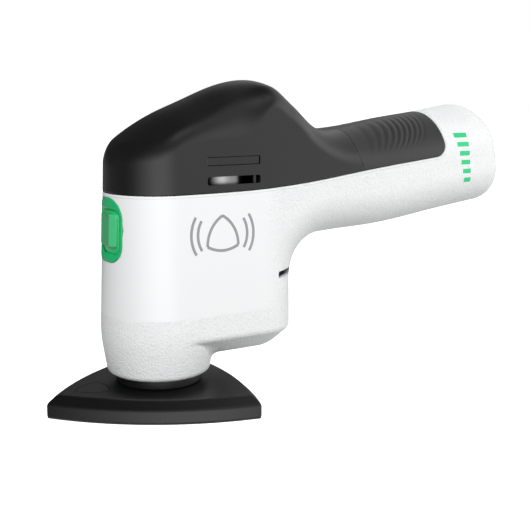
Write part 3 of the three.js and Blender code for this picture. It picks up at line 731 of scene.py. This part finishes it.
def grip_field(x, y, z):
    """The grip, with grooves that bend back as they run down and fade out on the flank and the top."""
    skin = housing(x, y, z)
    _, above = handle_frame(x, z)
    down = top_height(x) - z
    place = x + GROOVE_BEND * smooth(x, 98, 114) * down**2
    shown = smooth(above, 10.5, 16.5) * mix(0.1, 1, smooth(np.abs(y), 2, 10))
    shown *= mix(0.2, 0.38, smooth(x, 104, 124))
    groove = sum(depth * np.exp(-(((place - at) / width) ** 2)) for at, depth, width in GROOVES)
    body = np.maximum(skin + groove * shown, -(skin + WALL + GRIP_EXTRA_WALL))
    body = round_and(body, black_zone(x, z) + GAP, BLACK_EDGE)
    return round_and(body, -behind_parting(x, z) + FINE_GAP, FINE_EDGE)


def slot_rib_field(x, y, z):
    """The upright that stands in each slot of the head cover."""
    across_slot = np.maximum(np.abs(x - RIB["x"]) - RIB["half"], np.abs(z - SLOT["z"]) - RIB["half_height"])
    return np.maximum(across_slot, np.maximum(RIB["inner"] - np.abs(y), housing(x, y, z) + RIB["inset"]))


def declare(piece, body, node=None):
    """What the piece rides on, and the CAD node that it replaces."""
    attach(piece, body)
    if node:
        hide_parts(node)


# Each call gives the box that the field is worked out in, and the steps of its grid.
tub = field_piece(
    "white_tub", tub_field, (-28, -27.5, 13), (193, 27.5, 135), (0.96, 0.92, 0.92), white, black_zone
)
cover = field_piece(
    "palm_cover", cover_field, (-26, -26, 94.5), (100, 26, 146), (0.8, 0.8, 0.8), cover_black
)
grip = field_piece(
    "ribbed_grip", grip_field, (86, -25, 96), (151, 25, 132.5), (0.55, 0.7, 0.7), grip_black
)
rib = field_piece(
    "slot_rib", slot_rib_field, (36, -26, 98.4), (38.4, 26, 104), (0.25, 0.4, 0.4), cover_black
)
blank = field_piece(
    "slot_blank", slot_blank_field, (12, -26, 107), (40.6, 26, 112.2), (0.5, 0.3, 0.3), cover_black
)
declare(rib, "housing")
declare(blank, "housing")
declare(tub, "housing", "lower_housing")
declare(cover, "housing", "head_cover")
declare(grip, "housing", "handle_grip")


# ---------- switch ----------
BEZEL_PROUD = 0.2
BEZEL_DEPTH = 1.2
BEZEL_GAP = 0.15                # round its edge, inside the tub's opening
WELL = {"arc": 10.3, "middle": 79.4, "half": 10.4, "corner": 4.8}
BUTTON = {"arc": 8.7, "middle": 80.25, "half": 7.0, "corner": 1.6}
BUTTON_PROUD = 0.4
BUTTON_DEPTH = 2.5              # leaves room for the switch's block behind it when the button is pressed
FLAT_HALF_WIDTH = 4.1           # of the button's middle flat
FLAT_LEAN = math.radians(19)    # of the flats beside it
SKIRT = {"arc": 10.2, "middle": 79.6, "half": 10.6, "corner": 4.5, "inset": 0.75, "slope": 0.22}
SWITCH_STEPS = (0.35, 0.35, 0.35)


def bezel_field(x, y, z):
    """A ring a little proud of the nose, round a well whose sides slope in."""
    skin = housing(x, y, z)
    arc = nose_arc(x, y)
    body = np.maximum(skin - BEZEL_PROUD, -(skin + BEZEL_DEPTH))
    body = round_and(body, bezel_outline(arc, z, BEZEL_GAP), 0.5)
    depth = np.clip(-skin, -BEZEL_PROUD, BEZEL_DEPTH)
    half_arc, half = WELL["arc"] - depth, WELL["half"] - depth
    well = rounded_rectangle(arc, z - WELL["middle"], half_arc, half, WELL["corner"])
    body = round_and(body, -well, 0.35)
    return np.maximum(body, x - BEZEL["back"])


def button_field(x, y, z):
    """Three flats standing on a skirt that falls away under the bezel."""
    scale = FACE_RADIUS / nose_radius(z)
    u, v = -x * scale, np.abs(y) * scale
    lean_cos, lean_sin = math.cos(FLAT_LEAN), math.sin(FLAT_LEAN)
    front = FACE_RADIUS + BUTTON_PROUD
    middle = u - front
    sides = (u - front) * lean_cos + (v - FLAT_HALF_WIDTH) * lean_sin
    arc = nose_arc(x, y)
    block = rounded_rectangle(arc, z - BUTTON["middle"], BUTTON["arc"], BUTTON["half"], BUTTON["corner"])
    raised = round_and(np.maximum(middle, sides), block, 0.5)
    around = np.hypot(u, v)
    skirt = around - (FACE_RADIUS - SKIRT["inset"] - SKIRT["slope"] * np.maximum(block, 0))
    outline = rounded_rectangle(arc, z - SKIRT["middle"], SKIRT["arc"], SKIRT["half"], SKIRT["corner"])
    skirt = np.maximum(skirt, outline)
    return np.maximum(round_or(raised, skirt, 0.4), FACE_RADIUS - BUTTON_DEPTH - around)


bezel = field_piece(
    "switch_bezel_ring", bezel_field, (-26, -13, 65), (-18, 13, 96), SWITCH_STEPS, bezel_green
)
button = field_piece(
    "switch_button_face", button_field, (-26, -11.5, 67.5), (-17.5, 11.5, 92), SWITCH_STEPS, button_green
)
declare(bezel, "housing", "switch_bezel")
declare(button, "rocker", "switch_rocker")

# ---------- platen ----------
PLATEN_SIDE = 93
PLATEN_SIDE_RADIUS = 133        # of the bowed sides
PLATEN_CORNER = 1.0
PLATEN_TOP = 9.9
PLATEN_EDGE = 6.2               # height where the bevel begins
PLATEN_BEVEL = 3.8
PLATEN_UNDERSIDE = 0.95
RECESS = {"inset": 2.3, "top": 4.4}
FOAM = {"inset": 2.6, "middle": 2.6, "half": 1.6, "edge": 0.4}
HOOKS = {"inset": 0.15, "middle": 0.45, "half": 0.42, "edge": 0.3}


def platen_outline(x, y):
    """Distance outside three bowed sides, with one corner to the front."""
    apothem = PLATEN_SIDE / math.sqrt(12)
    bow = PLATEN_SIDE_RADIUS - math.sqrt(PLATEN_SIDE_RADIUS**2 - PLATEN_SIDE**2 / 4)
    offset = PLATEN_SIDE_RADIUS - apothem - bow
    sides = []
    for k in range(3):
        turn = 2 * math.pi * k / 3
        cx, cy = -offset * math.cos(turn), -offset * math.sin(turn)
        sides.append(np.hypot(x - cx, y - cy) - PLATEN_SIDE_RADIUS)
    return round_and(round_and(sides[0], sides[1], PLATEN_CORNER), sides[2], PLATEN_CORNER)


def platen_field(x, y, z):
    outline = platen_outline(x, y)
    slope = PLATEN_BEVEL / (PLATEN_TOP - PLATEN_EDGE)
    bevel = (outline + (z - PLATEN_EDGE) * slope) / math.hypot(1, slope)
    body = round_and(outline, bevel, 0.7)
    body = round_and(body, z - PLATEN_TOP, 0.5)
    body = round_and(body, PLATEN_UNDERSIDE - z, 0.25)
    return cut(body, np.maximum(outline + RECESS["inset"], z - RECESS["top"]))


def layer(x, y, z, place):
    """A flat layer with the platen's outline."""
    outline = platen_outline(x, y) + place["inset"]
    return round_and(outline, np.abs(z - place["middle"]) - place["half"], place["edge"])


def foam_field(x, y, z):
    return layer(x, y, z, FOAM)


def hook_field(x, y, z):
    return layer(x, y, z, HOOKS)


platen = field_piece(
    "platen_plate_body", platen_field, (-56, -49, 0.2), (38, 49, 11), (0.8, 0.8, 0.4), platen_black
)
foam = field_piece("platen_foam", foam_field, (-54, -46, 0.4), (36, 46, 5), (1.4, 1.4, 0.5), foam_black)
hooks = field_piece("hook_layer", hook_field, (-56, -49, -0.4), (38, 49, 1.4), (1, 1, 0.25), hook_tape)
collar_profile = rounded_profile([(12, 10.1), (19.4, 10.1), (19.4, 15), (12, 15)], 0.7)
collar = turned_piece("dust_collar_ring", collar_profile, (0, 0), collar_black)
declare(platen, "spindle", "platen_plate")
declare(foam, "spindle", "foam_pad")
declare(hooks, "spindle", "hook_pad")
declare(collar, "spindle", "dust_collar")

# ---------- motor can, seen through the cover's slots ----------
can_low, can_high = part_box("motor_can")
can_axis = (can_low + can_high) / 2 / MM
can_profile = rounded_profile([(5, 58), (18, 58), (18, 108), (16.4, 108), (16.4, 59.6), (5, 59.6)], 1.2)
can = turned_piece("motor_can_body", can_profile, (can_axis.x, can_axis.y), can_steel, 128)
declare(can, "housing", "motor_can")


# ---------- printed marks ----------
INK_THICKNESS = 0.05
INK_LIFT = 0.03                 # how far the middle of the ink stands off the skin
MARK_WIDTH = 1.25


def stroke(path, width, spacing=0.6):
    """A flat strip of three rows of points along a path in (x, z)."""
    path = np.array(path, float)
    lengths = np.r_[0, np.cumsum(np.linalg.norm(np.diff(path, axis=0), axis=1))]
    at = np.linspace(0, lengths[-1], max(2, int(lengths[-1] / spacing) + 1))
    line = np.stack([np.interp(at, lengths, path[:, i]) for i in range(2)], 1)
    ahead = unit_rows(np.gradient(line, axis=0))
    aside = np.stack([-ahead[:, 1], ahead[:, 0]], 1) * width / 2
    points = np.concatenate([line - aside, line, line + aside])
    count = len(line)
    faces = []
    for first in (0, count):
        for i in range(first, first + count - 1):
            faces.append((i, i + 1, i + count + 1, i + count))
    return points, faces


def on_left_flank(points):
    """The points in (x, z), carried along y to just above the housing's skin."""
    x, z = points.T
    y = np.full(len(x), -26.0)
    for _ in range(25):
        y += (housing(x, y, z) - INK_LIFT) * 0.9
    return np.stack([x, y, z], 1)


def on_platen(points):
    return np.column_stack([points, np.full(len(points), PLATEN_TOP + 0.01)])


def print_piece(name, strokes, lay, body, material):
    """Strokes laid on a surface as a fine film of ink."""
    points, faces, base = [], [], 0
    for part_points, part_faces in strokes:
        points.append(lay(part_points))
        faces += [tuple(base + i for i in face) for face in part_faces]
        base += len(part_points)
    mesh = bpy.data.meshes.new(name)
    mesh.from_pydata((np.concatenate(points) * MM).tolist(), [], faces)
    piece = make_object(name, mesh, material)
    film = piece.modifiers.new("film", "SOLIDIFY")
    film.thickness = INK_THICKNESS * MM
    film.offset = 0
    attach(piece, body)


def arc_path(cx, cz, radius, start, end, count=24):
    angles = np.radians(np.linspace(start, end, count))
    return np.stack([cx + radius * np.cos(angles), cz + radius * np.sin(angles)], 1)


def bowed_triangle(middle, reach, bow, width, facing=90):
    """Strokes of a three-cornered outline with bowed sides; facing turns its first corner."""
    strokes = []
    turns = np.radians([facing, facing + 120, facing + 240])
    corners = [reach * np.array([math.cos(a), math.sin(a)]) for a in turns]
    for i in range(3):
        a, b = corners[i], corners[(i + 1) % 3]
        inward = -(a + b)
        back_off = math.sqrt(bow**2 - np.sum((b - a) ** 2) / 4)
        centre = (a + b) / 2 + inward / np.linalg.norm(inward) * back_off
        first = math.atan2(*(a - centre)[::-1])
        last = math.atan2(*(b - centre)[::-1])
        turn = (last - first + math.pi) % (2 * math.pi) - math.pi
        angles = first + np.linspace(0, 1, 18) * turn
        path = np.array(middle) + centre + bow * np.stack([np.cos(angles), np.sin(angles)], 1)
        strokes.append(stroke(path, width))
    return strokes


def swinging_pad():
    """A generic mark: a bowed triangle with two arcs on each side that show it swinging."""
    x, z = 20, 78
    strokes = bowed_triangle((x, z - 0.6), reach=8.8, bow=15, width=MARK_WIDTH)
    for radius in (12.2, 15.4):
        strokes.append(stroke(arc_path(x, z, radius, -32, 32), MARK_WIDTH))
        strokes.append(stroke(arc_path(x, z, radius, 148, 212), MARK_WIDTH))
    return strokes


def row_of_bars():
    """Six bars across the handle's end, longer towards the top."""
    lowest, pitch, thickness = 94.6, 4.5, 2.3
    bars = []
    for k in range(6):
        z = lowest + k * pitch
        x = 162.8 - END_LEAN * (z - 94)
        half = 2.2 + 0.36 * k
        bars.append(stroke([(x - half, z), (x + half, z)], thickness))
    return bars


print_piece("swing_mark", swinging_pad(), on_left_flank, "housing", print_grey)
print_piece("level_bars", row_of_bars(), on_left_flank, "housing", print_green)
triangle = bowed_triangle((-31.5, 0.6), reach=8.6, bow=15, width=0.6, facing=180)
print_piece("platen_mark", triangle, on_platen, "spindle", print_dark)

# ---------- finishes for the CAD nodes that stay in view ----------
finish_of = {row["node"]: row["material_slot"] for row in frame["record"]["subparts"]}
for name, node in frame["nodes"].items():
    node.data.materials.clear()
    node.data.materials.append(slot_materials[finish_of[name]])
    node.data.set_sharp_from_angle(angle=math.radians(35))

# ---------- floor, light and camera ----------
bpy.ops.mesh.primitive_plane_add(size=8, location=(0, 0, 0))
floor = bpy.context.object
floor.name = "studio_floor"
floor.data.materials.append(floor_material())
floor.visible_glossy = False
floor.visible_diffuse = False

scene = bpy.context.scene
scene.view_settings.view_transform = "Standard"
world = bpy.data.worlds.new("studio")
scene.world = world
world.use_nodes = True

AMBIENT = 0.408                 # even light on matt surfaces
BACKDROP = 1.0
ROUND_STUDIO = [                # how bright gloss finds the studio, by degrees from -Y towards -X
    (-180, 0.8), (-130, 0.9), (-80, 1.5), (-45, 1.4), (-28, 0.72), (-12, 1.2), (4, 2.1), (26, 2.2),
    (50, 1.2), (74, 0.3), (96, 0.1), (120, 0.24), (150, 0.85), (180, 0.9),
]
BRIGHTEST = 3.0                 # more than any level above, because a ramp's colours stop at 1
# The rest of it. Heights are the z of a direction, and each pair is where a change begins and ends.
BACK_WALL = {"turn": (100.0, 150.0), "low": (-0.3, -0.14), "rise": (0.0, 0.12)}
CEILING = {"height": (0.1, 0.5), "level": 0.06, "handle_side": (0.16, 0.6), "handle_level": 0.8}
STRIP_BOX = {"near": (-12.0, -40.0), "far": (-100.0, -80.0), "height": 0.3, "spread": 0.14, "level": 1.3}
FRONT_BOX = {
    "right": (-30.0, -12.0), "left": (6.0, 16.0), "bottom": (0.6, 0.72), "top": (0.82, 0.9), "level": 1.5,
}


def build_studio(tree):
    """An even light for matt surfaces, a studio with soft boxes for gloss, and a white backdrop."""
    n = Nodes(tree=tree)
    split = tree.nodes.new("ShaderNodeSeparateXYZ")
    n.link(n.direction, split.inputs[0])
    x, y, z = split.outputs
    turn = n.math("ARCTAN2", n.product(x, -1.0), n.product(y, -1.0))
    degrees = n.product(turn, 180 / math.pi)
    round_ramp = tree.nodes.new("ShaderNodeValToRGB")
    n.link(n.math("ADD", n.math("DIVIDE", degrees, 360.0), 0.5), round_ramp.inputs["Fac"])
    stops = round_ramp.color_ramp.elements
    while len(stops) < len(ROUND_STUDIO):
        stops.new(0.5)
    for stop, (angle, level) in zip(stops, ROUND_STUDIO):
        stop.position = angle / 360 + 0.5
        stop.color = (level / BRIGHTEST, level / BRIGHTEST, level / BRIGHTEST, 1)
    wall = n.product(round_ramp.outputs["Color"], BRIGHTEST)

    # Behind the object the wall is dim above the floor's level.
    behind = n.step(n.math("ABSOLUTE", degrees), *BACK_WALL["turn"])
    low_back = n.less(n.step(z, *BACK_WALL["low"]))
    kept = n.math("ADD", n.less(behind), n.product(behind, low_back))
    least = n.math("SUBTRACT", 0.25, n.product(n.step(z, *BACK_WALL["rise"]), 0.18))
    wall = n.product(wall, n.math("MAXIMUM", kept, least))

    # The ceiling is dark, and brighter towards the handle's end.
    ceiling = n.step(z, *CEILING["height"])
    handle_side = n.step(x, *CEILING["handle_side"])
    overhead = n.math("ADD", CEILING["level"], n.product(handle_side, CEILING["handle_level"]))
    level = n.math("ADD", n.product(wall, n.less(ceiling)), n.product(ceiling, overhead))

    # A low strip box on the right, soft above and below, and a high box in front.
    rise = n.math("DIVIDE", n.math("SUBTRACT", z, STRIP_BOX["height"]), STRIP_BOX["spread"])
    strip = n.math("POWER", 2.718, n.product(rise, rise, -1.0))
    right = n.product(n.step(degrees, *STRIP_BOX["near"]), n.step(degrees, *STRIP_BOX["far"]))
    level = n.math("ADD", level, n.product(strip, right, STRIP_BOX["level"]))
    front = n.product(n.step(degrees, *FRONT_BOX["right"]), n.less(n.step(degrees, *FRONT_BOX["left"])))
    tall = n.product(n.step(z, *FRONT_BOX["bottom"]), n.less(n.step(z, *FRONT_BOX["top"])))
    level = n.math("ADD", level, n.product(front, tall, FRONT_BOX["level"]))

    path = tree.nodes.new("ShaderNodeLightPath")
    matt = n.math("ADD", AMBIENT, n.product(x, 0.1))
    matt = n.math("ADD", matt, n.product(z, -0.03))
    gloss = n.product(path.outputs["Is Glossy Ray"], n.math("SUBTRACT", level, matt))
    seen = n.math("ADD", gloss, matt)
    shown = n.product(path.outputs["Is Camera Ray"], n.math("SUBTRACT", BACKDROP, seen))
    background = tree.nodes["Background"]
    background.inputs["Color"].default_value = (1, 1, 1, 1)
    n.link(n.math("ADD", seen, shown), background.inputs["Strength"])


build_studio(world.node_tree)

CENTRE = np.array([0.05, 0, 0.075])


def direction(azimuth, elevation):
    """A unit vector; azimuth is measured from the -Y side towards -X."""
    level = math.cos(elevation)
    return np.array([-math.sin(azimuth) * level, -math.cos(azimuth) * level, math.sin(elevation)])


def area_light(name, azimuth, elevation, distance, size, power):
    """A soft light aimed at the object, with its angles in degrees."""
    a, e = math.radians(azimuth), math.radians(elevation)
    data = bpy.data.lights.new(name, "AREA")
    data.shape = "RECTANGLE"
    data.size = data.size_y = size
    data.energy = power
    lamp = bpy.data.objects.new(name, data)
    lamp.location = CENTRE + direction(a, e) * distance
    lamp.rotation_euler = (math.pi / 2 - e, 0, -a)
    lamp.visible_glossy = False
    scene.collection.objects.link(lamp)


area_light("key", azimuth=33, elevation=32, distance=1.2, size=0.5, power=11.6)
area_light("handle_fill", azimuth=-60, elevation=8, distance=0.45, size=0.2, power=0.5)
area_light("back_light", azimuth=205, elevation=38, distance=1.2, size=0.6, power=7)

CAMERA_AZIMUTH = math.radians(29.83)
CAMERA_ELEVATION = math.radians(9.34)
CAMERA_DISTANCE = 0.4446
CAMERA_TARGET = np.array([0.04, 0, 0.07])
camera_data = bpy.data.cameras.new("camera")
camera_data.sensor_width = 36
camera_data.lens = 64.57
camera_data.shift_x = 0.0567
camera_data.shift_y = -0.0456
camera = bpy.data.objects.new("camera", camera_data)
camera.location = CAMERA_TARGET + direction(CAMERA_AZIMUTH, CAMERA_ELEVATION) * CAMERA_DISTANCE
camera.rotation_euler = (math.pi / 2 - CAMERA_ELEVATION, 0, -CAMERA_AZIMUTH)
scene.collection.objects.link(camera)
scene.camera = camera
